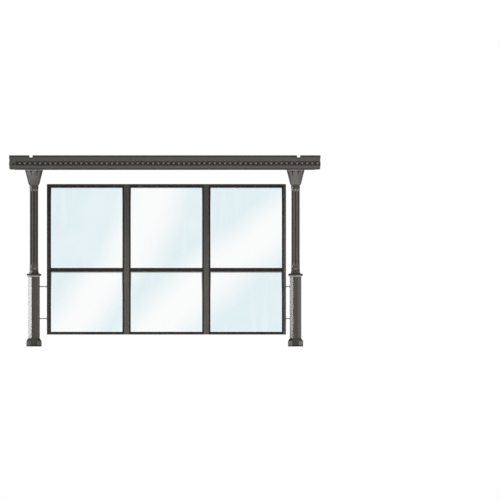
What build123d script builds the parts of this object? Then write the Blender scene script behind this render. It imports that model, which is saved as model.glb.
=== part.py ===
from build123d import *
from math import atan2, copysign, degrees, radians, tan
import os

# Bus shelter: four octagonal posts carry a boxed roof, with glazed screens at the back and at both ends.
# Millimetres, +X to the right, +Y to the back, +Z up, origin on the ground under the roof's centre.

# Overall
post_spacing_x = 3400.0
post_spacing_y = 1400.0
headroom = 2300.0
overhang_x = 325.0
overhang_y = 285.0
cut_overrun = 5.0

# Posts, from the ground up
post_sides = 8
foot_across = 198.0
foot_top_across = 158.0
foot_height = 104.0
foot_wall_height = 68.0
pedestal_across = 150.0
pedestal_height = 801.0
cap_across = 190.0
cap_top_across = 164.0
cove_height = 18.0
cap_lip_height = 16.0
cap_slope_height = 9.0
ring_across = 130.0
ring_height = 15.0
ring_ease = 5.0
neck_across = 118.0
neck_height = 26.0
shaft_diameter = 108.0
flute_radius = 20.0
flute_depth = 8.0
flute_margin = 30.0
flute_run_out = 18.0
capital_height = 198.0
capital_foot_across = 142.0
capital_foot_ease = 9.0
capital_bell_across = 222.0
bell_height_shares = (0.3, 0.68)
bell_flare_shares = (0.22, 0.68)
abacus_across = 233.0
abacus_height = 11.0
parting_depth = 17.0
parting_angle = 56.0

# Glazed screens
back_bays = 3
ground_gap = 155.0
head_gap = 188.0
transom_height = 996.0
back_tie_length = 70.5
back_screen_offset = 21.5
end_tie_length = 106.0
frame_depth = 50.0
stile_width = 34.0
rail_width = 30.0
sill_width = 20.0
transom_width = 20.0
bead_width = 16.0
bead_depth = 14.0
bead_chamfer = 8.0
glass_thickness = 10.0
glass_edge_gap = 3.0
tie_diameter = 14.0
tie_base_gap = 259.0
tie_head_gap = 126.0

# Roof
fascia_height = 186.0
fascia_thickness = 66.0
ledge_width = 20.0
ledge_height = 90.0
crown_height = 24.0
crown_projection = 3.0
upper_band_height = 54.0
channel_height = 54.0
channel_depth = 12.0
drip_height = 16.0
drip_setback = 14.0
stud_pitch = 66.8
stud_across = 44.0
stud_face_across = 20.0
corner_margin = 82.0
course_offset_x = 48.0
course_offset_y = -26.0
corner_block_length = 86.0
notch_diameter = 48.0
notch_drop = 16.0
notch_offset_x = 40.0
soffit_thickness = 12.0
deck_thickness = 30.0
deck_rise = 18.0
ridge_width = 60.0

# Sizes that follow from those above
roof_length = post_spacing_x + 2 * overhang_x
roof_depth = post_spacing_y + 2 * overhang_y
half_step = 180.0 / post_sides
collar_base = foot_height + pedestal_height
cap_height = cove_height + cap_lip_height + cap_slope_height
neck_base = collar_base + cap_height + ring_height
shaft_base = neck_base + neck_height
capital_base = headroom - capital_height
screen_height = headroom - head_gap - ground_gap
back_run = post_spacing_x - pedestal_across - 2 * back_tie_length
back_panel_width = back_run / back_bays
end_panel_width = post_spacing_y - pedestal_across - 2 * end_tie_length


def octagon(across, level=0):
    """A regular octagon with flats to the front, back and sides."""
    return Pos(0, 0, level) * RegularPolygon(across / 2, post_sides, major_radius=False, rotation=half_step)


def ribbed(across, level=0):
    """A polygon with a corner at each leaf's midrib and at each parting between leaves."""
    return Pos(0, 0, level) * RegularPolygon(across / 2, 2 * post_sides, major_radius=False)


def sloped(block, side, inset, drop):
    """A block whose first or last face in height has its edges cut back to flat slopes."""
    face = block.faces().sort_by(Axis.Z)[side]
    return chamfer(face.edges(), inset, drop, reference=face)


def narrowed(face, narrowing, height):
    """A block with flat sloping sides, narrower by so much at its upper end than at its face."""
    return extrude(face, height, taper=degrees(atan2(narrowing / 2, height)))


def around(cutter, first_angle):
    """Copies of a cutter round the post, one to each side."""
    step = 2 * half_step
    return [Rot(0, 0, first_angle + step * side) * cutter for side in range(post_sides)]


def rectangle(width, low, high):
    return Pos(0, (low + high) / 2) * Rectangle(width, high - low)


def upright(sketch, thickness):
    """A sketch stood upright in X and Z, with its thickness shared about Y = 0."""
    return extrude(Plane.XZ * sketch, thickness / 2, both=True)


def make_foot():
    """An octagonal block with a sloped shoulder."""
    foot = extrude(octagon(foot_across), foot_height)
    return sloped(foot, -1, (foot_across - foot_top_across) / 2, foot_height - foot_wall_height)


def make_pedestal():
    return extrude(octagon(pedestal_across, foot_height), pedestal_height)


def make_collar():
    """An octagonal cap, sloped below and above its lip, with an eased ring and a narrowing neck on it."""
    cap = extrude(octagon(cap_across, collar_base), cap_height)
    cap = sloped(cap, 0, (cap_across - pedestal_across) / 2, cove_height)
    cap = sloped(cap, -1, (cap_across - cap_top_across) / 2, cap_slope_height)
    ring = extrude(octagon(ring_across, collar_base + cap_height), ring_height)
    ring = sloped(sloped(ring, 0, ring_ease, ring_ease), -1, ring_ease, ring_ease)
    neck = narrowed(octagon(neck_across, neck_base), neck_across - shaft_diameter, neck_height)
    return cap + ring + neck


def make_shaft():
    """A round shaft with one flute to each side of the pedestal below it, run out at both ends."""
    radius = shaft_diameter / 2
    floor = radius - flute_depth
    outer = floor + 2 * flute_radius
    low = shaft_base + flute_margin
    high = capital_base - flute_margin
    length = capital_base - shaft_base
    middle = shaft_base + length / 2
    reach = Polyline(
        (outer, low),
        (radius, low),
        (floor, low + flute_run_out),
        (floor, high - flute_run_out),
        (radius, high),
        (outer, high),
        close=True,
    )
    flute = upright(make_face(reach), 2 * flute_radius)
    flute &= Pos(floor + flute_radius, 0, middle) * Cylinder(flute_radius, length)
    return Pos(0, 0, middle) * Cylinder(radius, length) - around(flute, 0)


def make_capital():
    """A bell that flares in steps, parted into ribbed leaves under a flat abacus."""
    bell_high = headroom - abacus_height
    bell_low = capital_base + capital_foot_ease
    flare = capital_bell_across - capital_foot_across
    steps = [(capital_base, capital_foot_across - 2 * capital_foot_ease), (bell_low, capital_foot_across)]
    for height_share, flare_share in zip(bell_height_shares, bell_flare_shares):
        level = bell_low + height_share * (bell_high - bell_low)
        steps.append((level, capital_foot_across + flare_share * flare))
    tip_level, tip_across = steps[2]
    steps.append((bell_high, capital_bell_across))
    bell = Part()
    for (low, narrow), (high, wide) in zip(steps, steps[1:]):
        bell += Pos(0, 0, high) * Rot(180, 0, 0) * narrowed(ribbed(wide), wide - narrow, high - low)
    lean = degrees(atan2(flare / 2 * (1 - bell_flare_shares[0]) - parting_depth, bell_high - tip_level))
    reach = capital_bell_across
    half_width = reach * tan(radians(parting_angle / 2))
    wedge = make_face(Polyline((0, 0), (reach, -half_width), (reach, half_width), close=True))
    parting = Pos(tip_across / 2, 0, tip_level) * Rot(0, lean, 0) * extrude(wedge, capital_height)
    abacus = extrude(ribbed(abacus_across, bell_high), abacus_height)
    return bell - around(parting, half_step) + abacus


def make_screen(width):
    """The pieces of one framed screen about X = 0 and Y = 0: two stiles, three rails, beads and panes."""
    top = ground_gap + screen_height
    opening_width = width - 2 * stile_width
    rails = [
        (ground_gap, ground_gap + sill_width),
        (transom_height - transom_width / 2, transom_height + transom_width / 2),
        (top - rail_width, top),
    ]
    stile = upright(rectangle(stile_width, ground_gap, top), frame_depth)
    stile_place = (width - stile_width) / 2
    pieces = {
        "stiles": [Pos(side * stile_place, 0, 0) * stile for side in (-1, 1)],
        "rails": [upright(rectangle(opening_width, low, high), frame_depth) for low, high in rails],
        "beads": [],
        "glass": [],
    }
    for rail_below, rail_above in zip(rails, rails[1:]):
        low = rail_below[1]
        high = rail_above[0]
        ring = rectangle(opening_width, low, high)
        ring -= rectangle(opening_width - 2 * bead_width, low + bead_width, high - bead_width)
        bead = extrude(Plane.XZ * ring, bead_depth)
        sight_line = bead.faces().sort_by(Axis.Y)[0].inner_wires()[0].edges()
        bead = Pos(0, -glass_thickness / 2, 0) * chamfer(sight_line, bead_chamfer)
        pieces["beads"] += [bead, Rot(0, 0, 180) * bead]
        pane = rectangle(opening_width - 2 * glass_edge_gap, low + glass_edge_gap, high - glass_edge_gap)
        pieces["glass"].append(upright(pane, glass_thickness))
    return pieces


def placed(pieces, *places):
    """One node's solids: every piece at every place."""
    return Compound(children=[place * piece for place in places for piece in pieces])


def make_ties(length, frame_edge, offset=0):
    """Four round ties from a screen's stiles to the pedestals; the screen may be set off along X."""
    levels = (foot_height + tie_base_gap, collar_base - tie_head_gap)
    ties = []
    for side in (-1, 1):
        reach = length - side * offset
        middle = frame_edge + length - reach / 2
        tie = Pos(side * middle, 0, 0) * Rot(0, 90, 0) * Cylinder(tie_diameter / 2, reach)
        ties += [Pos(0, 0, level) * tie for level in levels]
    return ties


def make_fascia(length, notch_spacing, course_offset):
    """One mitred side of the roof box, its outer face on Y = 0 and its underside on Z = 0.

    The stud course is set off along X, towards a corner that it shares with the next side's course.
    The channel stops at a plain block before the other corner.
    """
    band = crown_projection
    channel = crown_projection + channel_depth
    crown_low = fascia_height - crown_height
    channel_high = crown_low - upper_band_height
    channel_low = channel_high - channel_height
    outline = Polyline(
        (0, fascia_height),
        (band, crown_low),
        (band, channel_high),
        (channel, channel_high),
        (channel, channel_low),
        (band, channel_low),
        (band, drip_height),
        (band + drip_setback, 0),
        (fascia_thickness, 0),
        (fascia_thickness, ledge_height),
        (fascia_thickness - ledge_width, ledge_height),
        (fascia_thickness - ledge_width, fascia_height),
        close=True,
    )
    bar = extrude(Plane.YZ * make_face(outline), length / 2, both=True)
    course_level = (channel_low + channel_high) / 2
    plain_end = copysign((length - corner_block_length) / 2, -course_offset)
    block = Box(corner_block_length, channel_depth, channel_height)
    bar += Pos(plain_end, (band + channel) / 2, course_level) * block
    plan = Polyline(
        (-length / 2, 0),
        (length / 2, 0),
        (length / 2 - fascia_thickness, fascia_thickness),
        (fascia_thickness - length / 2, fascia_thickness),
        close=True,
    )
    fascia = bar & extrude(make_face(plan), fascia_height)
    stud_count = int((length - 2 * corner_margin) / stud_pitch) + 1
    channel_floor = Plane((0, channel, course_level), x_dir=(1, 0, 0), z_dir=(0, -1, 0))
    stud = channel_floor * narrowed(octagon(stud_across), stud_across - stud_face_across, channel_depth)
    stud = Pos(course_offset, 0, 0) * stud
    fascia += [place * stud for place in GridLocations(stud_pitch, 0, stud_count, 1)]
    notch = Rot(90, 0, 0) * Cylinder(notch_diameter / 2, 2 * fascia_thickness + cut_overrun)
    for side in (-1, 1):
        fascia -= Pos(side * notch_spacing / 2, 0, fascia_height - notch_drop) * notch
    return fascia


def make_deck():
    """The roof sheet on the fascia's ledges, falling from a flat ridge to all four sides."""
    margin = 2 * (fascia_thickness - ledge_width)
    length = roof_length - margin
    depth = roof_depth - margin
    thickness = deck_thickness + deck_rise
    deck = Pos(0, 0, headroom + ledge_height + thickness / 2) * Box(length, depth, thickness)
    return sloped(deck, -1, (depth - ridge_width) / 2, deck_rise)


def make_soffit():
    length = roof_length - 2 * fascia_thickness
    depth = roof_depth - 2 * fascia_thickness
    return Pos(0, 0, headroom + soffit_thickness / 2) * Box(length, depth, soffit_thickness)


def build_parts():
    parts = {}
    post_pieces = {
        "foot": make_foot(),
        "pedestal": make_pedestal(),
        "collar": make_collar(),
        "shaft": make_shaft(),
        "capital": make_capital(),
    }
    post_x = post_spacing_x / 2
    post_y = post_spacing_y / 2
    for row, y in (("front", -post_y), ("back", post_y)):
        for side, x in (("left", -post_x), ("right", post_x)):
            for name, piece in post_pieces.items():
                parts[f"{row}_{side}_{name}"] = Pos(x, y, 0) * piece

    back_screen = make_screen(back_panel_width)
    bay_places = GridLocations(back_panel_width, 0, back_bays, 1)
    bays = [Pos(back_screen_offset, post_y, 0) * place for place in bay_places]
    for bay, place in zip(("left", "middle", "right"), bays):
        for name in ("stiles", "rails"):
            parts[f"back_{bay}_{name}"] = placed(back_screen[name], place)
    parts["back_glazing_beads"] = placed(back_screen["beads"], *bays)
    parts["back_glass"] = placed(back_screen["glass"], *bays)
    back_ties = make_ties(back_tie_length, back_run / 2, back_screen_offset)
    parts["back_tie_rods"] = placed(back_ties, Pos(0, post_y, 0))

    end_screen = make_screen(end_panel_width)
    end_ties = make_ties(end_tie_length, end_panel_width / 2)
    for side, x, turn in (("left", -post_x, -90), ("right", post_x, 90)):
        place = Pos(x, 0, 0) * Rot(0, 0, turn)
        for name in ("stiles", "rails", "glass"):
            parts[f"{side}_end_{name}"] = placed(end_screen[name], place)
        parts[f"{side}_end_glazing_beads"] = placed(end_screen["beads"], place)
        parts[f"{side}_end_tie_rods"] = placed(end_ties, place)

    long_fascia = make_fascia(roof_length, post_spacing_x + 2 * notch_offset_x, course_offset_x)
    short_fascia = make_fascia(roof_depth, post_spacing_y, course_offset_y)
    eaves = Pos(0, 0, headroom)
    parts["front_fascia"] = eaves * Pos(0, -roof_depth / 2, 0) * long_fascia
    parts["back_fascia"] = eaves * Pos(0, roof_depth / 2, 0) * Rot(0, 0, 180) * long_fascia
    parts["left_fascia"] = eaves * Pos(-roof_length / 2, 0, 0) * Rot(0, 0, -90) * short_fascia
    parts["right_fascia"] = eaves * Pos(roof_length / 2, 0, 0) * Rot(0, 0, 90) * short_fascia
    parts["roof_deck"] = make_deck()
    parts["soffit"] = make_soffit()
    return parts


os.makedirs("parts", exist_ok=True)
for node, shape in build_parts().items():
    export_step(shape, f"parts/{node}.step")
    print(node, round(shape.volume))
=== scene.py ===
import math

import bmesh
import bpy
from mathutils import Matrix, Vector


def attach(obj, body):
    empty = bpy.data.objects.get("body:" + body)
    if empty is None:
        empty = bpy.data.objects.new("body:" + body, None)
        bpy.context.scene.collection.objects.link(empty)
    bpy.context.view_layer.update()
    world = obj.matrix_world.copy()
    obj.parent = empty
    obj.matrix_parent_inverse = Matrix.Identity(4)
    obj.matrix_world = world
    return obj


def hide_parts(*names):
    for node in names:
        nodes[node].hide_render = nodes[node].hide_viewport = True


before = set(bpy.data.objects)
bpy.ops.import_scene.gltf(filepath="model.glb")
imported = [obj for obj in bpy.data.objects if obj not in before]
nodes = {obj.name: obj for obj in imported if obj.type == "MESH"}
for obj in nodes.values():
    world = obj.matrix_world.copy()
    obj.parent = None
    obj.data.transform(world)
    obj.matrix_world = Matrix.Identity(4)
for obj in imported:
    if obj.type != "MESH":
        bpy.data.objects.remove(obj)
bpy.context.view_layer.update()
scene = bpy.context.scene
scene.view_settings.view_transform = "Standard"
print("frame loaded,", len(nodes), "nodes")


# where the posts stand, left and right, front and back
post = {"x": 1.700, "y": 0.700}


# camera, straight on to the open front
cameraView = {"x": 1.1076, "z": 1.2545, "distance": 12.0, "width": 6.5}

cameraData = bpy.data.cameras.new("frontCamera")
cameraData.type = "ORTHO"
cameraData.ortho_scale = cameraView["width"]
cameraData.clip_end = 200.0
camera = bpy.data.objects.new("frontCamera", cameraData)
camera.location = (cameraView["x"], -cameraView["distance"], cameraView["z"])
camera.rotation_euler = (math.pi / 2, 0, 0)
scene.collection.objects.link(camera)
scene.camera = camera


# node helpers
def addNode(tree, kind, **values):
    node = tree.nodes.new(kind)
    for key, value in values.items():
        setattr(node, key, value)
    return node


def feed(tree, socket, value):
    # a link from another node's output, or a constant on the socket itself
    if hasattr(value, "is_output"):
        tree.links.new(value, socket)
    else:
        socket.default_value = value


def combine(tree, kind, first, second=0.0):
    node = addNode(tree, "ShaderNodeMath", operation=kind)
    feed(tree, node.inputs[0], first)
    feed(tree, node.inputs[1], second)
    return node.outputs[0]


def mixColour(tree, factor, first, second):
    node = addNode(tree, "ShaderNodeMix", data_type="RGBA")
    for index, value in ((0, factor), (6, first), (7, second)):
        feed(tree, node.inputs[index], value)
    return node.outputs[2]


def mixNumber(tree, factor, first, second):
    node = addNode(tree, "ShaderNodeMix", data_type="FLOAT")
    for index, value in ((0, factor), (2, first), (3, second)):
        feed(tree, node.inputs[index], value)
    return node.outputs[0]


def remap(tree, value, low, high, toLow, toHigh, smooth=False):
    node = addNode(tree, "ShaderNodeMapRange", clamp=True)
    if smooth:
        node.interpolation_type = "SMOOTHSTEP"
    for index, number in enumerate((value, low, high, toLow, toHigh)):
        feed(tree, node.inputs[index], number)
    return node.outputs[0]


def noiseOn(tree, vector, scale, detail=2.0, roughness=0.5):
    noise = addNode(tree, "ShaderNodeTexNoise")
    noise.inputs["Scale"].default_value = scale
    noise.inputs["Detail"].default_value = detail
    noise.inputs["Roughness"].default_value = roughness
    tree.links.new(vector, noise.inputs["Vector"])
    return noise.outputs["Fac"]


def patches(tree, vector, least, low, high, **noise):
    # soft patches between the least value and 1
    return remap(tree, noiseOn(tree, vector, **noise), low, high, least, 1)


def objectPlace(tree):
    return addNode(tree, "ShaderNodeTexCoord").outputs["Object"]


def axesOf(tree, vector):
    node = addNode(tree, "ShaderNodeSeparateXYZ")
    tree.links.new(vector, node.inputs[0])
    return node.outputs


# studio: white world, pale floor, soft lamps
studio = {
    "worldFill": 0.40, "floorSize": 90.0,
    "lamps": {
        # name: (place, aim, width, height, watts, spread in degrees)
        "leftStrip": ((-6.6, -1.1, 1.43), (-1.7, -1.1, 1.43), 1.1, 2.8, 11.8, 50),
        "rightStrip": ((6.6, -1.1, 1.43), (1.7, -1.1, 1.43), 1.1, 2.8, 0.8, 50),
        "frontBox": ((3.2, -8.0, 6.6), (0, 0, 1.3), 6.0, 3.0, 262.0, 180),
        "skyBox": ((0.4, 0.4, 11.0), (0.2, 0, 0), 11.0, 9.0, 640.0, 180),
        "backBox": ((2.5, 8.0, 4.6), (0, 0, 1.2), 5.0, 3.0, 190.0, 180),
    },
}

world = bpy.data.worlds.new("studioWorld")
world.use_nodes = True
scene.world = world
tree = world.node_tree
tree.nodes.clear()
background = addNode(tree, "ShaderNodeBackground")
background.inputs["Color"].default_value = (1, 1, 1, 1)
# camera, mirror and glass rays meet plain white, all others a weaker fill
rays = addNode(tree, "ShaderNodeLightPath").outputs
seen = combine(tree, "MAXIMUM", rays["Is Camera Ray"], rays["Is Glossy Ray"])
seen = combine(tree, "MAXIMUM", seen, rays["Is Transmission Ray"])
feed(tree, background.inputs["Strength"], mixNumber(tree, seen, studio["worldFill"], 1.0))
feed(tree, addNode(tree, "ShaderNodeOutputWorld").inputs["Surface"], background.outputs[0])

for name, (place, aim, width, height, watts, spread) in studio["lamps"].items():
    lampData = bpy.data.lights.new(name, "AREA")
    lampData.shape = "RECTANGLE"
    lampData.size = width
    lampData.size_y = height
    lampData.energy = watts
    lampData.spread = math.radians(spread)
    lamp = bpy.data.objects.new(name, lampData)
    lamp.location = place
    lamp.visible_transmission = False  # glass shows the plain backdrop, not the lamp
    lamp.rotation_euler = (Vector(aim) - Vector(place)).to_track_quat("-Z", "Y").to_euler()
    scene.collection.objects.link(lamp)
print("studio set,", len(studio["lamps"]), "lamps")


# shared finish groups
def newGroup(name, inputs, outputs):
    group = bpy.data.node_groups.new(name, "ShaderNodeTree")
    for label, kind, value in inputs:
        socket = group.interface.new_socket(label, in_out="INPUT", socket_type="NodeSocket" + kind)
        socket.default_value = value
    for label, kind in outputs:
        group.interface.new_socket(label, in_out="OUTPUT", socket_type="NodeSocket" + kind)
    return group, addNode(group, "NodeGroupInput").outputs, addNode(group, "NodeGroupOutput").inputs


def newMask(name, **inputs):
    return newGroup(name, [(label, "Float", value) for label, value in inputs.items()], [("Mask", "Float")])


def makePaintFilm():
    # broad fading, a finer mottle in the gloss and the grain of a sprayed coat
    group, given, out = newGroup(
        "paintFilm",
        [("Paint", "Color", (0.1, 0.1, 0.1, 1)), ("Faded", "Color", (0.13, 0.13, 0.13, 1)),
         ("Fading", "Float", 0.5), ("Smooth", "Float", 0.3), ("Dull", "Float", 0.45)],
        [("Color", "Color"), ("Roughness", "Float"), ("Grain", "Float")],
    )
    place = objectPlace(group)
    broad = patches(group, place, 0, 0.36, 0.66, scale=2.3, detail=4, roughness=0.6)
    mottle = noiseOn(group, place, scale=38, detail=3, roughness=0.6)
    speck = noiseOn(group, place, scale=210)
    fade = combine(group, "MULTIPLY", mixNumber(group, 0.3, broad, mottle), given["Fading"])
    feed(group, out["Color"], mixColour(group, fade, given["Paint"], given["Faded"]))
    feed(group, out["Roughness"], remap(group, mottle, 0.3, 0.7, given["Smooth"], given["Dull"]))
    feed(group, out["Grain"], mixNumber(group, 0.4, speck, mottle))
    return group


def makeRubbedEdge():
    # where a rounded normal leaves the true one, the coat is thin and polished
    group, given, out = newMask("rubbedEdge", Reach=0.004)
    soft = addNode(group, "ShaderNodeBevel", samples=6)
    feed(group, soft.inputs["Radius"], given["Reach"])
    dot = addNode(group, "ShaderNodeVectorMath", operation="DOT_PRODUCT")
    feed(group, dot.inputs[0], soft.outputs[0])
    feed(group, dot.inputs[1], addNode(group, "ShaderNodeNewGeometry").outputs["True Normal"])
    edge = remap(group, dot.outputs["Value"], 0.995, 0.90, 0, 1)
    worn = patches(group, objectPlace(group), 0.15, 0.3, 0.62, scale=26, detail=3)
    feed(group, out["Mask"], combine(group, "MULTIPLY", edge, worn))
    return group


def makeRoadDust():
    # fine dust that thins out with height over the ground
    group, given, out = newMask("roadDust", Height=0.35, Amount=0.5)
    place = objectPlace(group)
    low = remap(group, axesOf(group, place)["Z"], given["Height"], 0.0, 0, 1, smooth=True)
    cloud = patches(group, place, 0.25, 0.3, 0.7, scale=9, detail=5, roughness=0.65)
    feed(group, out["Mask"], combine(group, "MULTIPLY", combine(group, "MULTIPLY", low, cloud), given["Amount"]))
    return group


def makePaintedReflections():
    # painted reflections on the glass: two broad pale bands, fainter streaks and a pale haze; the pane's own map is 0
    # along the middle of each band and 1 half-way down its flank
    group, given, out = newMask("paintedReflections", Drift=0.6)
    across = axesOf(group, addNode(group, "ShaderNodeUVMap", uv_map="paneMap").outputs[0])
    place = objectPlace(group)
    waver = combine(group, "SUBTRACT", noiseOn(group, place, scale=1.6), 0.5)
    drift = combine(group, "MULTIPLY", waver, given["Drift"])
    stretch = addNode(group, "ShaderNodeMapping")
    stretch.inputs["Scale"].default_value = (9.0, 9.0, 0.7)
    feed(group, stretch.inputs["Vector"], place)
    haze = remap(group, noiseOn(group, place, scale=2.4, detail=3), 0.35, 0.75, 0, 0.25)
    streak = remap(group, noiseOn(group, stretch.outputs[0], scale=1.0), 0.45, 0.7, 0, 0.22)
    pale = combine(group, "MAXIMUM", haze, streak)
    for label in ("X", "Y"):
        away = combine(group, "ABSOLUTE", combine(group, "ADD", across[label], drift))
        pale = combine(group, "MAXIMUM", pale, remap(group, away, 1.75, 0.25, 0, 1, smooth=True))
    feed(group, out["Mask"], pale)
    return group


def makeRecessShade():
    # painted shade: a near-black tone laid where ambient occlusion finds the surface closed in
    group, given, out = newMask("recessShade", Reach=0.03, Amount=0.8)
    closed = addNode(group, "ShaderNodeAmbientOcclusion", samples=8)
    feed(group, closed.inputs["Distance"], given["Reach"])
    deep = remap(group, closed.outputs["AO"], 0.94, 0.55, 0, 1)
    cloud = patches(group, objectPlace(group), 0.7, 0.25, 0.7, scale=30, detail=3)
    feed(group, out["Mask"], combine(group, "MULTIPLY", combine(group, "MULTIPLY", deep, cloud), given["Amount"]))
    return group


def makeTiltedFace():
    # faces that tilt up or down, such as undersides, a mask for painted light and shade on them
    group, given, out = newMask("tiltedFace", Start=-0.25, Full=-0.6)
    normal = axesOf(group, addNode(group, "ShaderNodeNewGeometry").outputs["Normal"])
    tilt = remap(group, normal["Z"], given["Start"], given["Full"], 0, 1)
    cloud = patches(group, objectPlace(group), 0.6, 0.25, 0.6, scale=24, detail=3)
    feed(group, out["Mask"], combine(group, "MULTIPLY", tilt, cloud))
    return group


def makeStraightFace():
    # faces that look straight along one axis, such as the crown of a dome on a wall
    group, given, out = newMask("straightFace", Start=0.86, Full=0.985)
    normal = axesOf(group, addNode(group, "ShaderNodeNewGeometry").outputs["Normal"])
    along = [combine(group, "ABSOLUTE", normal[label]) for label in ("X", "Y")]
    most = combine(group, "MAXIMUM", *along)
    feed(group, out["Mask"], remap(group, most, given["Start"], given["Full"], 0, 1, smooth=True))
    return group


def makePostReach():
    # distance from the nearest post's axis, as a ramp
    group, given, out = newMask("postReach", Start=0.080, Full=0.088)
    place = axesOf(group, objectPlace(group))
    squares = []
    for label in ("X", "Y"):
        away = combine(group, "SUBTRACT", combine(group, "ABSOLUTE", place[label]), post[label.lower()])
        squares.append(combine(group, "MULTIPLY", away, away))
    reach = combine(group, "SQRT", combine(group, "ADD", *squares))
    feed(group, out["Mask"], remap(group, reach, given["Start"], given["Full"], 0, 1))
    return group


def makeRamp(name, axis):
    # a ramp between two places on one axis, such as two heights over the ground
    group, given, out = newMask(name, Start=0.0, Full=1.0)
    place = objectPlace(group)
    ramp = remap(group, axesOf(group, place)[axis], given["Start"], given["Full"], 0, 1)
    cloud = patches(group, place, 0.7, 0.25, 0.65, scale=14, detail=3)
    feed(group, out["Mask"], combine(group, "MULTIPLY", ramp, cloud))
    return group


paintFilm = makePaintFilm()
paintedReflections = makePaintedReflections()
masks = {
    "rubbedEdge": makeRubbedEdge(), "roadDust": makeRoadDust(), "recessShade": makeRecessShade(),
    "tiltedFace": makeTiltedFace(), "straightFace": makeStraightFace(), "postReach": makePostReach(),
    "heightRamp": makeRamp("heightRamp", "Z"), "sideRamp": makeRamp("sideRamp", "X"),
}


# materials
def newMaterial(name):
    material = bpy.data.materials.new(name)
    material.use_nodes = True
    tree = material.node_tree
    tree.nodes.clear()
    surface = addNode(tree, "ShaderNodeOutputMaterial").inputs["Surface"]
    return material, tree, addNode(tree, "ShaderNodeBsdfPrincipled"), surface


def placeGroup(tree, group, **values):
    node = addNode(tree, "ShaderNodeGroup", node_tree=group)
    for label, value in values.items():
        node.inputs[label].default_value = value
    return node


def makePaint(name, paint, faded, smooth, dull, specular, grain, grainDepth=0.0006, fading=0.5, metal=0.0,
              layers=(), sideDark=None):
    material, tree, shader, surface = newMaterial(name)
    film = placeGroup(tree, paintFilm, Paint=paint, Faded=faded, Fading=fading, Smooth=smooth, Dull=dull)
    colour, gloss = film.outputs["Color"], film.outputs["Roughness"]
    for mask, values, tone, rough in layers:
        where = placeGroup(tree, masks[mask], **values).outputs["Mask"]
        colour = mixColour(tree, where, colour, tone)
        if rough:
            gloss = mixNumber(tree, where, gloss, rough)
    if sideDark:
        # surfaces that turn away from the eye sink into shade
        shade, blend = sideDark
        turned = addNode(tree, "ShaderNodeLayerWeight")
        turned.inputs["Blend"].default_value = blend
        colour = mixColour(tree, turned.outputs["Facing"], colour, shade)
    bump = addNode(tree, "ShaderNodeBump")
    for label, value in (("Strength", grain), ("Distance", grainDepth), ("Height", film.outputs["Grain"])):
        feed(tree, bump.inputs[label], value)
    for label, value in (("Base Color", colour), ("Roughness", gloss), ("Normal", bump.outputs[0]),
                         ("Specular IOR Level", specular), ("Metallic", metal)):
        feed(tree, shader.inputs[label], value)
    feed(tree, surface, shader.outputs[0])
    return material


# painted shade: the near-black tone of the recess shade and of the shadow along the feet's bottom edge
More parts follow.
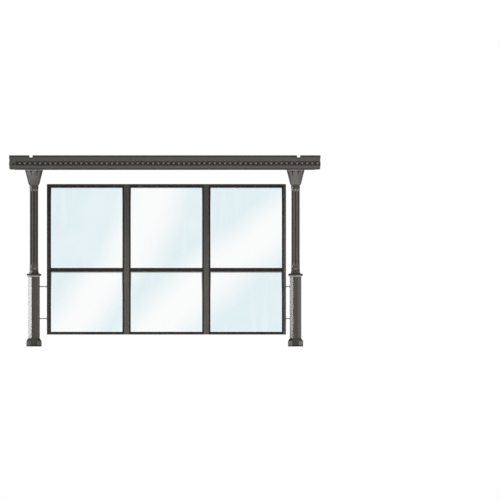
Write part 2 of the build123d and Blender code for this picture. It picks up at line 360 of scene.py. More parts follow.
paintedShade = (0.006, 0.0056, 0.0052, 1)
paints = {
    # slot or variant: the coat's colours and gloss, then its layers (mask, the mask's values, tone, roughness)
    "post_paint": dict(
        paint=(0.0635, 0.0565, 0.0470, 1), faded=(0.077, 0.0695, 0.0598, 1), smooth=0.14, dull=0.17, specular=0.46,
        grain=0.012,
        layers=[("rubbedEdge", dict(Reach=0.004), (0.11, 0.105, 0.097, 1), None),
                ("recessShade", dict(Reach=0.03, Amount=0.75), paintedShade, 0.5)]),
    "footPaint": dict(
        paint=(0.118, 0.111, 0.102, 1), faded=(0.178, 0.169, 0.156, 1), smooth=0.5, dull=0.7, specular=0.16,
        grain=0.5, fading=0.9,
        # painted light: lighter towards the right-hand posts
        layers=[("sideRamp", dict(Start=0.0, Full=1.6), (0.245, 0.234, 0.218, 1), None),
                # painted shade: darker on faces that tilt up
                ("tiltedFace", dict(Start=0.25, Full=0.45), (0.022, 0.0205, 0.0185, 1), None),
                # painted shade: darker on faces that look straight along an axis, so the diagonal facets stay lighter
                ("straightFace", dict(Start=0.74, Full=0.80), (0.062, 0.058, 0.053, 1), None),
                ("rubbedEdge", dict(Reach=0.004), (0.11, 0.1055, 0.099, 1), None),
                ("roadDust", dict(Height=0.16, Amount=0.35), (0.10, 0.095, 0.086, 1), 0.8),
                # painted shadow: near-black along the foot's bottom edge, where it meets the floor
                ("heightRamp", dict(Start=0.020, Full=0.002), paintedShade, 0.8),
                ("recessShade", dict(Reach=0.03, Amount=0.8), paintedShade, 0.6)]),
    "collarPaint": dict(
        paint=(0.044, 0.041, 0.037, 1), faded=(0.058, 0.0545, 0.050, 1), smooth=0.12, dull=0.2, specular=0.46,
        grain=0.06,
        # painted shade: darker on the collar above 0.967 m, the neck
        layers=[("heightRamp", dict(Start=0.962, Full=0.967), (0.014, 0.013, 0.012, 1), None),
                ("postReach", dict(Start=0.078, Full=0.084), (0.026, 0.0245, 0.022, 1), 0.7),
                # painted highlight: a pale tone on faces that tilt down, under the lip
                ("tiltedFace", dict(Start=-0.3, Full=-0.6), (0.55, 0.54, 0.52, 1), 0.6),
                ("recessShade", dict(Reach=0.02, Amount=0.8), paintedShade, 0.5)]),
    "shaftPaint": dict(
        paint=(0.130, 0.123, 0.114, 1), faded=(0.152, 0.145, 0.134, 1), smooth=0.42, dull=0.55, specular=0.09,
        grain=0.12, sideDark=((0.008, 0.0075, 0.007, 1), 0.30),
        # painted light: lighter towards the right-hand posts
        layers=[("sideRamp", dict(Start=0.0, Full=1.6), (0.196, 0.186, 0.172, 1), None),
                # painted shade: darker down in the flutes
                ("postReach", dict(Start=0.0555, Full=0.0495), (0.055, 0.0515, 0.047, 1), None),
                ("recessShade", dict(Reach=0.022, Amount=0.6), paintedShade, 0.6)]),
    "capitalPaint": dict(
        paint=(0.140, 0.134, 0.1245, 1), faded=(0.200, 0.1925, 0.1795, 1), smooth=0.42, dull=0.55, specular=0.10,
        grain=0.35, fading=0.9, sideDark=((0.008, 0.0075, 0.007, 1), 0.30),
        # painted light: lighter towards the right-hand posts
        layers=[("sideRamp", dict(Start=0.0, Full=1.6), (0.215, 0.207, 0.1935, 1), None),
                ("rubbedEdge", dict(Reach=0.003), (0.25, 0.242, 0.227, 1), None),
                # painted light: lighter towards the top of the leaves
                ("heightRamp", dict(Start=2.145, Full=2.270), (0.310, 0.299, 0.281, 1), None),
                ("recessShade", dict(Reach=0.03, Amount=1.0), paintedShade, 0.6)]),
    # painted highlight: a pale copy of the post coat for the abacus and the flute drops, palest at the top of the
    # abacus
    "paintedHighlightCoat": dict(
        paint=(0.30, 0.291, 0.275, 1), faded=(0.37, 0.36, 0.342, 1), smooth=0.24, dull=0.34, specular=0.9, grain=0.1,
        sideDark=((0.03, 0.029, 0.027, 1), 0.25),
        layers=[("heightRamp", dict(Start=2.240, Full=2.270), (0.60, 0.584, 0.558, 1), None)]),
    "frame_paint": dict(
        paint=(0.046, 0.0425, 0.0385, 1), faded=(0.060, 0.056, 0.051, 1), smooth=0.45, dull=0.58, specular=0.13,
        grain=0.25,
        # painted light: the head rail lighter, above about 2.05 m
        layers=[("heightRamp", dict(Start=2.05, Full=2.08), (0.092, 0.087, 0.080, 1), None),
                ("rubbedEdge", dict(Reach=0.003), (0.075, 0.071, 0.065, 1), None),
                ("roadDust", dict(Height=0.30, Amount=0.2), (0.11, 0.104, 0.095, 1), 0.8),
                ("recessShade", dict(Reach=0.02, Amount=0.6), paintedShade, 0.6)]),
    # painted light and shade: a lighter copy of the frame coat for the stiles, darker towards the left end
    "litStilePaint": dict(
        paint=(0.149, 0.139, 0.127, 1), faded=(0.181, 0.170, 0.156, 1), smooth=0.45, dull=0.58, specular=0.13,
        grain=0.25,
        layers=[("sideRamp", dict(Start=-0.9, Full=-1.5), (0.063, 0.0585, 0.0525, 1), None),
                ("rubbedEdge", dict(Reach=0.003), (0.172, 0.162, 0.149, 1), None),
                ("recessShade", dict(Reach=0.02, Amount=0.7), paintedShade, 0.6)]),
    "bead_paint": dict(
        paint=(0.028, 0.0263, 0.024, 1), faded=(0.040, 0.0375, 0.034, 1), smooth=0.5, dull=0.62, specular=0.10,
        grain=0.25, layers=[("recessShade", dict(Reach=0.02, Amount=0.6), paintedShade, 0.6)]),
    # painted shade: the dark sheet in the stud channel, with painted light along its top and bottom edges
    "channelShadePaint": dict(
        paint=(0.040, 0.0375, 0.034, 1), faded=(0.050, 0.047, 0.0425, 1), smooth=0.5, dull=0.62, specular=0.10,
        grain=0.25,
        layers=[("heightRamp", dict(Start=2.397, Full=2.402), (0.290, 0.273, 0.251, 1), None),
                ("heightRamp", dict(Start=2.374, Full=2.368), (0.080, 0.0752, 0.069, 1), None),
                ("recessShade", dict(Reach=0.03, Amount=0.6), paintedShade, 0.6)]),
    "roof_paint": dict(
        paint=(0.088, 0.082, 0.0745, 1), faded=(0.107, 0.0995, 0.091, 1), smooth=0.45, dull=0.56, specular=0.16,
        grain=0.22, fading=0.8,
        # painted light: the fascia's lower band lighter
        layers=[("heightRamp", dict(Start=2.365, Full=2.345), (0.113, 0.1055, 0.0965, 1), None),
                ("rubbedEdge", dict(Reach=0.003), (0.11, 0.104, 0.095, 1), None),
                # painted shade: a dark strip along the top edge
                ("heightRamp", dict(Start=2.462, Full=2.466), (0.040, 0.0375, 0.034, 1), None),
                # painted shadow: a dark strip along the bottom edge
                ("heightRamp", dict(Start=2.319, Full=2.315), (0.060, 0.0562, 0.051, 1), None),
                ("recessShade", dict(Reach=0.055, Amount=1.0), paintedShade, 0.6)]),
    # painted shade and highlight: the studs darker than the fascia, with a pale painted highlight on the crown of
    # each dome
    "studPaint": dict(
        paint=(0.060, 0.056, 0.051, 1), faded=(0.074, 0.069, 0.063, 1), smooth=0.28, dull=0.38, specular=0.3,
        grain=0.12,
        layers=[("straightFace", dict(Start=0.82, Full=0.98), (0.150, 0.144, 0.134, 1), None),
                ("recessShade", dict(Reach=0.05, Amount=1.0), paintedShade, 0.6)]),
    "soffit_paint": dict(
        paint=(0.085, 0.080, 0.073, 1), faded=(0.103, 0.097, 0.089, 1), smooth=0.5, dull=0.64, specular=0.2,
        grain=0.3, layers=[("recessShade", dict(Reach=0.06, Amount=0.5), paintedShade, 0.7)]),
    "deck_sheet": dict(
        paint=(0.105, 0.100, 0.094, 1), faded=(0.15, 0.144, 0.135, 1), smooth=0.6, dull=0.78, specular=0.2,
        grain=0.6, fading=0.9, layers=[("recessShade", dict(Reach=0.08, Amount=0.6), paintedShade, 0.8)]),
    "tie_steel": dict(
        paint=(0.33, 0.325, 0.315, 1), faded=(0.44, 0.435, 0.42, 1), smooth=0.28, dull=0.46, specular=0.5,
        grain=0.2, grainDepth=0.0004, fading=0.8, metal=0.85),
    "floor": dict(
        paint=(0.86, 0.86, 0.855, 1), faded=(0.88, 0.88, 0.875, 1), smooth=0.8, dull=0.9, specular=0.2, grain=0.1),
}
materials = {slot: makePaint(slot, **values) for slot, values in paints.items()}


glassLook = {
    "tints": {"glass": (0.740, 0.858, 0.890, 1), "endGlass": (0.88, 0.932, 0.948, 1)},
    # painted reflections: the pale band colour and the near-white rim at each pane's edge
    "band": (0.955, 0.962, 0.965, 1), "rim": (0.97, 0.985, 0.985, 1), "shadow": (0.88, 0.92, 0.925, 1),
    "roughness": 0.03, "refraction": 1.45,
}


def makeGlass(name, tone):
    material, tree, shader, surface = newMaterial(name)
    # the painted reflections go into the tint: first the pale bands, then the bright rim
    tint = mixColour(tree, placeGroup(tree, paintedReflections).outputs["Mask"], tone, glassLook["band"])
    rim = addNode(tree, "ShaderNodeAttribute", attribute_name="rim").outputs["Fac"]
    tint = mixColour(tree, rim, tint, glassLook["rim"])
    for label, value in (("Base Color", tint), ("Roughness", glassLook["roughness"]),
                         ("IOR", glassLook["refraction"]), ("Transmission Weight", 1.0)):
        feed(tree, shader.inputs[label], value)
    # light on its way to the floor passes straight through
    through = addNode(tree, "ShaderNodeBsdfTransparent")
    through.inputs["Color"].default_value = glassLook["shadow"]
    ray = addNode(tree, "ShaderNodeLightPath").outputs["Is Shadow Ray"]
    mix = addNode(tree, "ShaderNodeMixShader")
    for index, value in enumerate((ray, shader.outputs[0], through.outputs[0])):
        feed(tree, mix.inputs[index], value)
    feed(tree, surface, mix.outputs[0])
    return material


for name, tone in glassLook["tints"].items():
    materials[name] = makeGlass(name, tone)
print("materials made,", len(materials))


# CAD nodes take their finish, and hard arrises get a small round
nodeFinish = {
    # ending of the node's name: (finish, arris round in metres, or none where the shape is left as it is)
    "foot": ("footPaint", 0.0025), "pedestal": ("post_paint", 0.0030), "collar": ("collarPaint", 0.0018),
    "shaft": ("shaftPaint", None), "capital": ("capitalPaint", None), "stiles": ("litStilePaint", 0.0015),
    "rails": ("frame_paint", 0.0012), "glazing_beads": ("bead_paint", None), "tie_rods": ("tie_steel", None),
    "glass": ("glass", None), "fascia": ("roof_paint", 0.0015), "roof_deck": ("deck_sheet", None),
    "soffit": ("soffit_paint", 0.002),
}
arrisRules = {"weld": 0.00002, "flatAngle": 0.6, "sharpAngle": 24, "segments": 2}

for name, node in nodes.items():
    ending = next(key for key in sorted(nodeFinish, key=len, reverse=True) if name.endswith(key))
    finish, arris = nodeFinish[ending]
    node.data.materials.clear()
    node.data.materials.append(materials[finish])
    if arris:
        weld = node.modifiers.new("weld", "WELD")
        weld.merge_threshold = arrisRules["weld"]
        flat = node.modifiers.new("flatFaces", "DECIMATE")
        flat.decimate_type = "DISSOLVE"
        flat.angle_limit = math.radians(arrisRules["flatAngle"])
        ease = node.modifiers.new("arris", "BEVEL")
        ease.width = arris
        ease.segments = arrisRules["segments"]
        ease.limit_method = "ANGLE"
        ease.angle_limit = math.radians(arrisRules["sharpAngle"])
        ease.harden_normals = True
print("nodes finished,", len(nodes))


# piece helpers
def finishPiece(shape, name, slotName, replaced=(), sharp=35, finish=None):
    mesh = bpy.data.meshes.new(name)
    shape.to_mesh(mesh)
    shape.free()
    mesh.polygons.foreach_set("use_smooth", [True] * len(mesh.polygons))
    mesh.set_sharp_from_angle(angle=math.radians(sharp))
    mesh.materials.append(materials[finish or slotName])
    piece = bpy.data.objects.new(name, mesh)
    scene.collection.objects.link(piece)
    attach(piece, "root")
    if replaced:
        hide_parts(*replaced)


def repeatAt(shape, places):
    single = bpy.data.meshes.new("single")
    shape.to_mesh(single)
    shape.free()
    joined = bmesh.new()
    for place in places:
        copy = single.copy()
        copy.transform(place)
        joined.from_mesh(copy)
        bpy.data.meshes.remove(copy)
    bpy.data.meshes.remove(single)
    return joined


def addShape(whole, shape):
    mesh = bpy.data.meshes.new("shape")
    shape.to_mesh(mesh)
    shape.free()
    whole.from_mesh(mesh)
    bpy.data.meshes.remove(mesh)


def boxShape(size, ease=0.0):
    box = bmesh.new()
    bmesh.ops.create_cube(box, size=1.0)
    bmesh.ops.scale(box, vec=size, verts=box.verts)
    if ease:
        bmesh.ops.bevel(box, geom=box.edges[:], offset=ease, affect="EDGES", segments=2, profile=0.5, material=-1)
    return box


def spunShape(profile, steps):
    # a turned shape on the Z axis, from (radius, height) pairs
    shape = bmesh.new()
    points = [shape.verts.new((radius, 0, height)) for radius, height in profile]
    edges = [shape.edges.new(pair) for pair in zip(points, points[1:])]
    bmesh.ops.spin(shape, geom=points + edges, cent=(0, 0, 0), axis=(0, 0, 1), angle=2 * math.pi, steps=steps,
                   use_merge=True)
    bmesh.ops.remove_doubles(shape, verts=shape.verts, dist=0.00001)
    bmesh.ops.recalc_face_normals(shape, faces=shape.faces)
    return shape


roof = {"length": 4.050, "width": 1.970}
fasciaPlaces = {
    "front": Matrix.Translation((0, -roof["width"] / 2, 0)),
    "back": Matrix.Translation((0, roof["width"] / 2, 0)) @ Matrix.Rotation(math.pi, 4, "Z"),
    "right": Matrix.Translation((roof["length"] / 2, 0, 0)) @ Matrix.Rotation(math.pi / 2, 4, "Z"),
    "left": Matrix.Translation((-roof["length"] / 2, 0, 0)) @ Matrix.Rotation(-math.pi / 2, 4, "Z"),
}
outward = Matrix.Rotation(math.pi / 2, 4, "X")
postSpots = {
    (depth, hand): Matrix.Translation((xSign * post["x"], ySign * post["y"], 0))
    for depth, ySign in (("front", -1), ("back", 1)) for hand, xSign in (("left", -1), ("right", 1))
}


def lengthKind(side):
    return "long" if side in ("front", "back") else "short"


def eightTurns(spot):
    # leaves and flutes stand eight to a post
    return [spot @ Matrix.Rotation(math.pi / 4 * number, 4, "Z") for number in range(8)]


# round studs of the fascia course
studs = {
    "radius": 0.0243, "rise": 0.0148, "floorDepth": 0.015, "level": 2.381, "pitch": 0.0668,
    # for a long side and a short one: (count, how far the course is off centre)
    "long": (59, 0.048), "short": (28, -0.026),
}


def makeStudDome():
    dome = bmesh.new()
    bmesh.ops.create_uvsphere(dome, u_segments=14, v_segments=8, radius=studs["radius"])
    bmesh.ops.bisect_plane(dome, geom=dome.verts[:] + dome.edges[:] + dome.faces[:], plane_co=(0, 0, 0),
                           plane_no=(0, 0, 1), clear_inner=True, dist=0.0001)
    bmesh.ops.scale(dome, vec=(1, 1, studs["rise"] / studs["radius"]), verts=dome.verts)
    rimEdges = [edge for edge in dome.edges if edge.is_boundary]
    bmesh.ops.holes_fill(dome, edges=rimEdges, sides=0)
    bmesh.ops.recalc_face_normals(dome, faces=dome.faces)
    return dome


for side, place in fasciaPlaces.items():
    count, offset = studs[lengthKind(side)]
    middle = (count - 1) / 2
    places = [place @ Matrix.Translation((offset + (number - middle) * studs["pitch"], studs["floorDepth"],
                                          studs["level"])) @ outward for number in range(count)]
    finishPiece(repeatAt(makeStudDome(), places), side + "StudCourse", "roof_paint", sharp=60, finish="studPaint")


# a dark sheet over the stud channel's floor, painted shade, from the plain corner block to the far mitre
channel = {"height": 0.0535, "thickness": 0.0006, "long": (-1.9388, 2.0104), "short": (-0.9704, 0.8988)}

for side, place in fasciaPlaces.items():
    start, end = channel[lengthKind(side)]
    shadeSheet = boxShape((end - start, channel["thickness"], channel["height"]))
    spot = Matrix.Translation(((start + end) / 2, studs["floorDepth"] - channel["thickness"] / 2, studs["level"]))
    bmesh.ops.transform(shadeSheet, matrix=place @ spot, verts=shadeSheet.verts)
    finishPiece(shadeSheet, side + "ChannelShadeSheet", "roof_paint", sharp=30, finish="channelShadePaint")
print("stud courses made")


# leaf capitals
capital = {
    # (share of the height, radius at the midrib, half angle of the leaf, how far its edges fall back)
    "leaf": [(0.0, 0.0655, 22.45, 0.0008), (0.045, 0.0715, 22.45, 0.0012), (0.23, 0.0780, 22.45, 0.0018),
             (0.40, 0.0845, 22.4, 0.0025), (0.55, 0.0920, 22.0, 0.0035), (0.72, 0.1000, 21.0, 0.0050),
             (0.88, 0.1080, 19.6, 0.0060), (1.0, 0.1145, 17.4, 0.0060)],
    "leafFoot": 2.1030, "leafTip": 2.2880, "tipRound": 0.012, "tipStart": 0.75, "thickness": 0.0200,
    "ribRise": 0.0022, "ribHalf": 0.28, "ribGrowth": 3, "steps": 48,
    "core": [(0.0, 2.1020), (0.0600, 2.1020), (0.0640, 2.1060), (0.0660, 2.1250), (0.0710, 2.1640),
             (0.0770, 2.2000), (0.0870, 2.2500), (0.0960, 2.2890), (0.0, 2.2890)],
    "abacus": [(0.0, 2.2880), (0.1120, 2.2880), (0.1155, 2.2890), (0.1178, 2.2920), (0.1186, 2.2950),
               (0.1180, 2.2985), (0.1168, 2.3000), (0.0, 2.3000)],
}


def between(rows, share):
    for low, high in zip(rows, rows[1:]):
        if share <= high[0]:
            part = (share - low[0]) / (high[0] - low[0])
            return [a + (b - a) * part for a, b in zip(low[1:], high[1:])]
    return list(rows[-1][1:])


def makeLeaf():
    leaf = bmesh.new()
    bmesh.ops.create_grid(leaf, x_segments=10, y_segments=16, size=1.0)
    height = capital["leafTip"] - capital["leafFoot"]
    for vert in leaf.verts:
        side, share = vert.co.x, (vert.co.y + 1) / 2
        radius, half, fall = between(capital["leaf"], share)
        rib = max(0.0, 1 - abs(side) / capital["ribHalf"]) * min(1.0, share * capital["ribGrowth"])
        radius += capital["ribRise"] * rib - fall * side * side
        turn = math.radians(half * side)
        tip = max(0.0, (share - capital["tipStart"]) / (1 - capital["tipStart"]))
        drop = capital["tipRound"] * side * side * tip
        vert.co = (radius * math.sin(turn), -radius * math.cos(turn), capital["leafFoot"] + height * share - drop)
    bmesh.ops.recalc_face_normals(leaf, faces=leaf.faces)
    if sum(face.normal.y * face.calc_area() for face in leaf.faces) > 0:
        bmesh.ops.reverse_faces(leaf, faces=leaf.faces)
    bmesh.ops.solidify(leaf, geom=leaf.faces[:], thickness=capital["thickness"])
    return leaf


for (depth, hand), spot in postSpots.items():
    whole = repeatAt(makeLeaf(), eightTurns(spot))
    addShape(whole, repeatAt(spunShape(capital["core"], capital["steps"]), [spot]))
    finishPiece(whole, f"{depth}{hand.title()}LeafCapital", "post_paint", (f"{depth}_{hand}_capital",), sharp=50,
                finish="capitalPaint")
    # the abacus takes the pale coat of painted highlight
    finishPiece(repeatAt(spunShape(capital["abacus"], capital["steps"]), [spot]), f"{depth}{hand.title()}Abacus",
                "post_paint", sharp=40, finish="paintedHighlightCoat")
print("leaf capitals made")


# fluted shafts with plain ends and a ring at the foot; over each flute a dark peak of painted shade and a drop in the
# pale coat of painted highlight
shaft = {
    "radius": 0.0565, "fluteDepth": 0.0088, "fluteHalf": 15.5, "flutes": 8, "stepsToFlute": 16,
    "fluteLow": 1.0580, "fluteHigh": 2.0480, "lowRun": 0.042, "highRun": 0.055, "runRows": 9, "endSteps": 64,
    "lowEnd": [(0.0530, 0.9892), (0.0575, 0.9905), (0.0592, 0.9955), (0.0592, 0.9995), (0.0575, 1.0045),
               (0.0565, 1.0060), (0.0565, 1.0580)],
    "highEnd": [(0.0565, 2.0480), (0.0565, 2.0860), (0.0585, 2.0880), (0.0592, 2.0930), (0.0585, 2.0980),
                (0.0565, 2.1019)],
    "dropLevel": 2.0350, "dropRadius": 0.0115, "dropFlat": 0.8, "dropStretch": 1.6, "dropReach": 0.0470,
    "peakTop": 2.0960, "peakFall": 0.036, "peakWidth": 0.010, "peakTaper": 0.4, "peakHalf": 15.0, "peakLift": 0.0014,
}


def fluteShare(height):
    # how far the flute has opened at this height: round at both ends
    low = min(1.0, max(0.0, (height - shaft["fluteLow"]) / shaft["lowRun"]))
    high = min(1.0, max(0.0, (shaft["fluteHigh"] - height) / shaft["highRun"]))
    share = min(low, high)
    return math.sqrt(1 - (1 - share) ** 2)


def makeFlutedShaft():
    rows = shaft["runRows"]
    heights = [shaft["fluteLow"] + shaft["lowRun"] * row / rows for row in range(rows + 1)]
    heights += [shaft["fluteHigh"] - shaft["highRun"] * (rows - row) / rows for row in range(rows + 1)]
    around = shaft["flutes"] * shaft["stepsToFlute"]
    skin = bmesh.new()
    bmesh.ops.create_grid(skin, x_segments=around, y_segments=len(heights) - 1, size=1.0)
    pitch = 360 / shaft["flutes"]
    for vert in skin.verts:
        turn = 180 * vert.co.x
        height = heights[round((vert.co.y + 1) / 2 * (len(heights) - 1))]
        opened = fluteShare(height)
        away = abs((turn + pitch / 2) % pitch - pitch / 2)
        half = shaft["fluteHalf"] * opened
        dip = shaft["fluteDepth"] * opened * math.sqrt(1 - (away / half) ** 2) if away < half else 0.0
        radius = shaft["radius"] - dip
        vert.co = (radius * math.sin(math.radians(turn)), -radius * math.cos(math.radians(turn)), height)
    bmesh.ops.remove_doubles(skin, verts=skin.verts, dist=0.00001)
    bmesh.ops.recalc_face_normals(skin, faces=skin.faces)
    return skin


def makeDrop():
    drop = bmesh.new()
    bmesh.ops.create_uvsphere(drop, u_segments=12, v_segments=8, radius=shaft["dropRadius"])
    bmesh.ops.scale(drop, vec=(1, shaft["dropFlat"], shaft["dropStretch"]), verts=drop.verts)
    bmesh.ops.translate(drop, vec=(0, -shaft["dropReach"], shaft["dropLevel"]), verts=drop.verts)
    return drop


# a thin dark inverted V over a flute's head, painted shade
def makeShadePeak():
    peak = bmesh.new()
    bmesh.ops.create_grid(peak, x_segments=12, y_segments=1, size=1.0)
    for vert in peak.verts:
        side, share = vert.co.x, (1 - vert.co.y) / 2
        turn = math.radians(shaft["peakHalf"] * side)
        width = shaft["peakWidth"] * (1 - shaft["peakTaper"] * abs(side))
        level = shaft["peakTop"] - shaft["peakFall"] * abs(side) - width * share
        radius = shaft["radius"] + shaft["peakLift"]
        vert.co = (radius * math.sin(turn), -radius * math.cos(turn), level)
    bmesh.ops.recalc_face_normals(peak, faces=peak.faces)
    if sum(face.normal.y for face in peak.faces) > 0:
        bmesh.ops.reverse_faces(peak, faces=peak.faces)
    bmesh.ops.solidify(peak, geom=peak.faces[:], thickness=shaft["peakLift"] * 2)
    return peak


for (depth, hand), spot in postSpots.items():
    label = depth + hand.title()
    finishPiece(repeatAt(makeFlutedShaft(), [spot]), label + "FlutedShaft", "post_paint",
                (f"{depth}_{hand}_shaft",), sharp=24, finish="shaftPaint")
    ends = repeatAt(spunShape(shaft["lowEnd"], shaft["endSteps"]), [spot])
    addShape(ends, repeatAt(spunShape(shaft["highEnd"], shaft["endSteps"]), [spot]))
    finishPiece(ends, label + "ShaftEnds", "post_paint", sharp=40)
    finishPiece(repeatAt(makeDrop(), eightTurns(spot)), label + "FluteDrops", "post_paint", sharp=60,
                finish="paintedHighlightCoat")
    finishPiece(repeatAt(makeShadePeak(), eightTurns(spot)), label + "FluteShadePeaks", "post_paint", sharp=40,
                finish="bead_paint")
print("fluted shafts made")


# screens: every pane's opening, as the frames leave it
screens = {
    "stile": 0.034, "rail": 0.030, "sill": 0.020, "transom": 0.020, "bead": 0.016, "beadDepth": 0.014,
    "ground": 0.155, "head": 2.112, "transomLevel": 0.996, "edgeGap": 0.003, "thickness": 0.010,
    "runs": {
        # the middle of the first bay, the number of bays and their width, and where the run stands
        "back": dict(first=0.0215 - 1.03633, count=3, width=1.03633, place=Matrix.Translation((0, post["y"], 0))),
        "right_end": dict(first=0, count=1, width=1.038, place=Matrix.Translation((post["x"], 0, 0))
                          @ Matrix.Rotation(math.pi / 2, 4, "Z")),
        "left_end": dict(first=0, count=1, width=1.038, place=Matrix.Translation((-post["x"], 0, 0))
                         @ Matrix.Rotation(-math.pi / 2, 4, "Z")),
    },
}


def openings(run):
    # (middle, half width, low, high) between the stiles and rails of each pane
    bays = screens["runs"][run]
    half = bays["width"] / 2 - screens["stile"]
    low = (screens["ground"] + screens["sill"], screens["transomLevel"] + screens["transom"] / 2)
    high = (screens["transomLevel"] - screens["transom"] / 2, screens["head"] - screens["rail"])
    return [(bays["first"] + bays["width"] * bay, half, low[row], high[row])
            for bay in range(bays["count"]) for row in (0, 1)]


def pieceName(run, ending):
    words = run.split("_")
    return words[0] + "".join(word.title() for word in words[1:]) + ending


# glass panes with eased edges, a painted reflection along the rim and a map of how far each point lies from two
# painted reflection bands
panes = {
    "rim": 0.040, "ease": 0.0012,
    "bands": {
        # for the lower row and the upper row, each painted reflection band: (middle at half height, slant, half
        # width)
        "back": (((-0.985, 0.70, 0.360), (0.265, 0.95, 0.468)), ((-0.305, 0.38, 0.365), (1.446, 1.40, 0.500))),
        "end": (((-0.880, 4.00, 1.040), (9.000, 0.00, 1.000)), ((-0.700, 1.40, 0.350), (1.000, 1.40, 0.450))),
    },
}


def makePanes(run):
    whole = bmesh.new()
    boxes = []
    for middle, half, low, high in openings(run):
        gap = screens["edgeGap"]
        width, height = 2 * (half - gap), high - low - 2 * gap
        shape = boxShape((width, screens["thickness"], height), panes["ease"])
        broad = [face for face in shape.faces if abs(face.normal.y) > 0.99 and face.calc_area() > 0.1]
        bmesh.ops.inset_individual(shape, faces=broad, thickness=panes["rim"])
        bmesh.ops.translate(shape, vec=(middle, 0, (low + high) / 2), verts=shape.verts)
        boxes.append((middle, width / 2, (low + high) / 2, height / 2))
        addShape(whole, shape)
    paneMap = whole.loops.layers.uv.new("paneMap")
    rim = whole.verts.layers.float.new("rim")
    bands = panes["bands"]["back" if run == "back" else "end"]
    for face in whole.faces:
        row = int(face.calc_center_median().z > screens["transomLevel"])
        for loop in face.loops:
            x, z = loop.vert.co.x, loop.vert.co.z - boxes[row][2]
            loop[paneMap].uv = [(x - middle - slant * z) / half for middle, slant, half in bands[row]]
    for vert in whole.verts:
        inside = max(min(halfWidth - abs(vert.co.x - x), halfHeight - abs(vert.co.z - z))
                     for x, halfWidth, z, halfHeight in boxes)
        vert[rim] = 1.0 if inside < panes["rim"] / 2 else 0.0
    bmesh.ops.transform(whole, matrix=screens["runs"][run]["place"], verts=whole.verts)
    finishPiece(whole, pieceName(run, "Panes"), "glass", (run + "_glass",), sharp=40,
                finish="glass" if run == "back" else "endGlass")


# black seals down both sides of each pane, on both faces
seals = {"width": 0.0038, "rise": 0.0022}


def makeSeals(run):
    whole = bmesh.new()
    for middle, half, low, high in openings(run):
        reach = half - screens["bead"] - seals["width"] / 2
        height = high - low - 2 * screens["bead"]
        for face in (-1, 1):
            for side in (-1, 1):
                strip = boxShape((seals["width"], seals["rise"], height))
                away = face * (screens["thickness"] + seals["rise"]) / 2
                bmesh.ops.translate(strip, vec=(middle + side * reach, away, (low + high) / 2), verts=strip.verts)
                addShape(whole, strip)
    bmesh.ops.transform(whole, matrix=screens["runs"][run]["place"], verts=whole.verts)
    finishPiece(whole, pieceName(run, "Seals"), "bead_paint", sharp=30)


# small round-headed screws that hold the beads, on the shelter's inner side
screws = {"radius": 0.0036, "rise": 0.0014, "spacing": 0.24, "fromEdge": 0.0040, "taper": 0.72, "socket": 0.3,
          "socketDepth": 0.5}


def makeScrew():
    screw = bmesh.new()
    bmesh.ops.create_cone(screw, cap_ends=True, segments=10, radius1=screws["radius"],
                          radius2=screws["radius"] * screws["taper"], depth=screws["rise"])
    top = [face for face in screw.faces if face.normal.z > 0.9]
    bmesh.ops.inset_individual(screw, faces=top, thickness=screws["radius"] * screws["socket"],
                               depth=-screws["rise"] * screws["socketDepth"])
    bmesh.ops.translate(screw, vec=(0, 0, screws["rise"] / 2), verts=screw.verts)
    return screw


def makeScrews(run):
    # the inner side is -Y of the back run, and +Y of an end run before it is turned
    side = -1 if run == "back" else 1
    face = side * (screens["thickness"] / 2 + screens["beadDepth"])
    spots = []
    for middle, half, low, high in openings(run):
        inset = screws["fromEdge"]
        across, up = 2 * half, high - low
        columns = max(2, round(across / screws["spacing"]))
        rows = max(2, round(up / screws["spacing"]))
        for number in range(columns):
            x = middle - half + across * (number + 0.5) / columns
            spots += [(x, low + inset), (x, high - inset)]
        for number in range(rows):
            z = low + up * (number + 0.5) / rows
            spots += [(middle - half + inset, z), (middle + half - inset, z)]
    turn = Matrix.Rotation(-side * math.pi / 2, 4, "X")
    place = screens["runs"][run]["place"]
    whole = repeatAt(makeScrew(), [place @ Matrix.Translation((x, face, z)) @ turn for x, z in spots])
    finishPiece(whole, pieceName(run, "BeadScrews"), "tie_steel", sharp=30)


for run in screens["runs"]:
    makePanes(run)
    makeSeals(run)
    makeScrews(run)
print("panes, seals and screws made")


# turned flanges where the ties meet stiles and pedestals
flanges = {
    "levels": (0.363, 0.779), "postFace": 1.625, "endPostFace": 0.625, "steps": 24,
    "stileProfile": [(0.0, 0.0), (0.0105, 0.0), (0.0105, 0.0030), (0.0095, 0.0042), (0.0, 0.0042)],
    "postProfile": [(0.0, 0.0), (0.0105, 0.0), (0.0105, 0.0025), (0.0095, 0.0036), (0.0, 0.0036)],
}


def makeFlanges(run):
    bays = screens["runs"][run]
    place = bays["place"]
    left = bays["first"] - bays["width"] / 2
    right = left + bays["width"] * bays["count"]
    postFace = flanges["postFace"] if run == "back" else flanges["endPostFace"]
    toRight = Matrix.Rotation(math.pi / 2, 4, "Y")
    toLeft = Matrix.Rotation(-math.pi / 2, 4, "Y")
    stileSpots, pedestalSpots = [], []
    for level in flanges["levels"]:
        stileSpots += [place @ Matrix.Translation((left, 0, level)) @ toLeft,
                       place @ Matrix.Translation((right, 0, level)) @ toRight]
        pedestalSpots += [place @ Matrix.Translation((-postFace, 0, level)) @ toRight,
                          place @ Matrix.Translation((postFace, 0, level)) @ toLeft]
    onStiles = repeatAt(spunShape(flanges["stileProfile"], flanges["steps"]), stileSpots)
    finishPiece(onStiles, pieceName(run, "StileFlanges"), "frame_paint", sharp=30)
    onPosts = repeatAt(spunShape(flanges["postProfile"], flanges["steps"]), pedestalSpots)
    finishPiece(onPosts, pieceName(run, "PostFlanges"), "post_paint", sharp=30)


for run in screens["runs"]:
    makeFlanges(run)
print("tie flanges made")


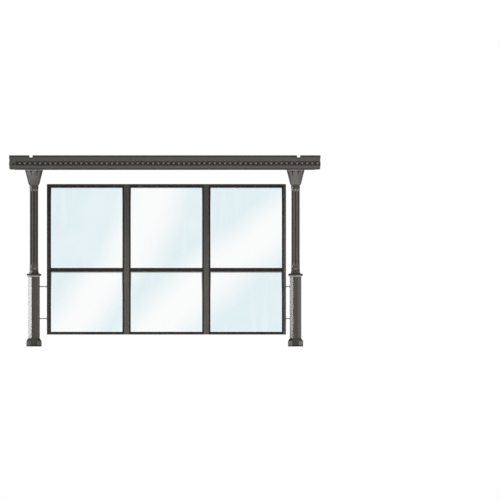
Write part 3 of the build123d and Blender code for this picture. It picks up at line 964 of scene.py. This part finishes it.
# roof fittings: plugs in the plain corner blocks, liners in the notches
plugs = {
    "level": 2.3715, "long": -1.972, "short": 0.932, "faceDepth": 0.003, "steps": 28,
    "ring": [(0.0150, 0.0), (0.0150, 0.0022), (0.0175, 0.0030), (0.0235, 0.0028), (0.0260, 0.0012), (0.0262, 0.0)],
    "centre": [(0.0, 0.0004), (0.0150, 0.0004)],
}
liners = {"radius": 0.0239, "wall": 0.0050, "depth": 0.0460, "level": 2.470, "long": 1.740, "short": 0.700,
          "sweep": 200.0}


def makeLiner():
    liner = bmesh.new()
    bmesh.ops.create_grid(liner, x_segments=1, y_segments=1, size=0.5)
    bmesh.ops.scale(liner, vec=(liners["wall"], liners["depth"], 1), verts=liner.verts)
    bmesh.ops.translate(liner, vec=(liners["radius"] - liners["wall"] / 2, liners["depth"] / 2, 0), verts=liner.verts)
    start = math.radians((liners["sweep"] - 180) / 2)
    bmesh.ops.rotate(liner, cent=(0, 0, 0), matrix=Matrix.Rotation(-start, 3, "Y"), verts=liner.verts)
    bmesh.ops.spin(liner, geom=liner.verts[:] + liner.edges[:] + liner.faces[:], cent=(0, 0, 0), axis=(0, 1, 0),
                   angle=math.radians(liners["sweep"]), steps=20)
    bmesh.ops.remove_doubles(liner, verts=liner.verts, dist=0.00001)
    bmesh.ops.recalc_face_normals(liner, faces=liner.faces)
    return liner


for side, place in fasciaPlaces.items():
    kind = lengthKind(side)
    spot = place @ Matrix.Translation((plugs[kind], plugs["faceDepth"], plugs["level"])) @ outward
    finishPiece(repeatAt(spunShape(plugs["ring"], plugs["steps"]), [spot]), side + "PlugRing", "roof_paint")
    finishPiece(repeatAt(spunShape(plugs["centre"], plugs["steps"]), [spot]), side + "PlugCentre", "bead_paint")
    reach = liners[kind]
    finishPiece(repeatAt(makeLiner(), [place @ Matrix.Translation((x, 0, liners["level"])) for x in (-reach, reach)]),
                side + "NotchLiners", "bead_paint", sharp=30)
print("roof fittings made")


# roof top: sheet laps, hip strips and a sloped upstand along the rim; soffit: cover strips
roofTop = {
    "edge": 2.420, "ridge": 2.438, "halfLength": 1.979, "halfWidth": 0.939, "ridgeHalf": 0.030, "lift": 0.0002,
    "laps": (-0.99, -0.33, 0.33, 0.99), "lapWidth": 0.070, "lapThickness": 0.003, "lapInset": 0.004,
    "hipWidth": 0.055, "hipInset": 0.030, "hipLift": 0.0006,
    "capWidth": 0.075, "capThickness": 0.004, "capLift": 0.002,
    "upstand": 0.034, "upstandTop": 2.456, "upstandFoot": 2.4235, "upstandSheet": 0.002, "upstandGap": 0.0005,
    "soffit": 2.300, "coverY": (-0.46, 0.46), "coverHalf": 1.952, "coverWidth": 0.060, "coverThickness": 0.0045,
    "easeShare": 0.3,
}


def stripBetween(start, end, width, thickness):
    run = Vector(end) - Vector(start)
    strip = boxShape((run.length, width, thickness), thickness * roofTop["easeShare"])
    turn = Matrix.Rotation(math.atan2(run.y, run.x), 4, "Z") @ Matrix.Rotation(
        -math.atan2(run.z, Vector((run.x, run.y)).length), 4, "Y")
    middle = Matrix.Translation((Vector(start) + Vector(end)) / 2 + Vector((0, 0, thickness / 2)))
    bmesh.ops.transform(strip, matrix=middle @ turn, verts=strip.verts)
    return strip


def makeDeckLaps():
    laps = bmesh.new()
    edge, ridge = roofTop["edge"] + roofTop["lift"], roofTop["ridge"] + roofTop["lift"]
    length, width, ridgeHalf = roofTop["halfLength"], roofTop["halfWidth"], roofTop["ridgeHalf"]
    thickness, inset = roofTop["lapThickness"], roofTop["hipInset"]
    for x in roofTop["laps"]:
        for side in (-1, 1):
            addShape(laps, stripBetween((x, side * ridgeHalf, ridge), (x, side * (width - roofTop["lapInset"]), edge),
                                        roofTop["lapWidth"], thickness))
    ridgeEnd = length - width + ridgeHalf
    for xSide in (-1, 1):
        for ySide in (-1, 1):
            corner = (xSide * (length - inset), ySide * (width - inset), edge + roofTop["hipLift"])
            addShape(laps, stripBetween((xSide * ridgeEnd, ySide * ridgeHalf, ridge), corner, roofTop["hipWidth"],
                                        thickness))
    cap = ridge + roofTop["capLift"]
    addShape(laps, stripBetween((-ridgeEnd, 0, cap), (ridgeEnd, 0, cap), roofTop["capWidth"],
                                roofTop["capThickness"]))
    finishPiece(laps, "deckLaps", "deck_sheet", sharp=30)


def makeUpstand():
    upstand = bmesh.new()
    bmesh.ops.create_grid(upstand, x_segments=1, y_segments=1, size=1.0)
    outer = [roofTop[key] - roofTop["upstandGap"] for key in ("halfLength", "halfWidth")]
    bmesh.ops.scale(upstand, vec=(*outer, 1), verts=upstand.verts)
    rim = bmesh.ops.inset_region(upstand, faces=upstand.faces[:], thickness=roofTop["upstand"], use_boundary=True,
                                 use_even_offset=True)["faces"]
    bmesh.ops.delete(upstand, geom=[face for face in upstand.faces if face not in rim], context="FACES")
    for vert in upstand.verts:
        atRim = abs(vert.co.x) > outer[0] - roofTop["upstand"] / 2
        vert.co.z = roofTop["upstandTop"] if atRim else roofTop["upstandFoot"]
    bmesh.ops.recalc_face_normals(upstand, faces=upstand.faces)
    bmesh.ops.solidify(upstand, geom=upstand.faces[:], thickness=roofTop["upstandSheet"])
    finishPiece(upstand, "rimUpstand", "deck_sheet", sharp=30)


def makeCovers():
    covers = bmesh.new()
    half, low = roofTop["coverHalf"], roofTop["soffit"] - roofTop["coverThickness"] - roofTop["lift"]
    for y in roofTop["coverY"]:
        addShape(covers, stripBetween((-half, y, low), (half, y, low), roofTop["coverWidth"],
                                      roofTop["coverThickness"]))
    finishPiece(covers, "soffitCoverStrips", "soffit_paint", sharp=30)


makeDeckLaps()
makeUpstand()
makeCovers()
print("roof top and soffit strips made")


# floor
floorShape = bmesh.new()
bmesh.ops.create_grid(floorShape, x_segments=1, y_segments=1, size=studio["floorSize"] / 2)
floorMesh = bpy.data.meshes.new("floor")
floorShape.to_mesh(floorMesh)
floorShape.free()
floorMesh.materials.append(materials["floor"])
floor = bpy.data.objects.new("floor", floorMesh)
scene.collection.objects.link(floor)
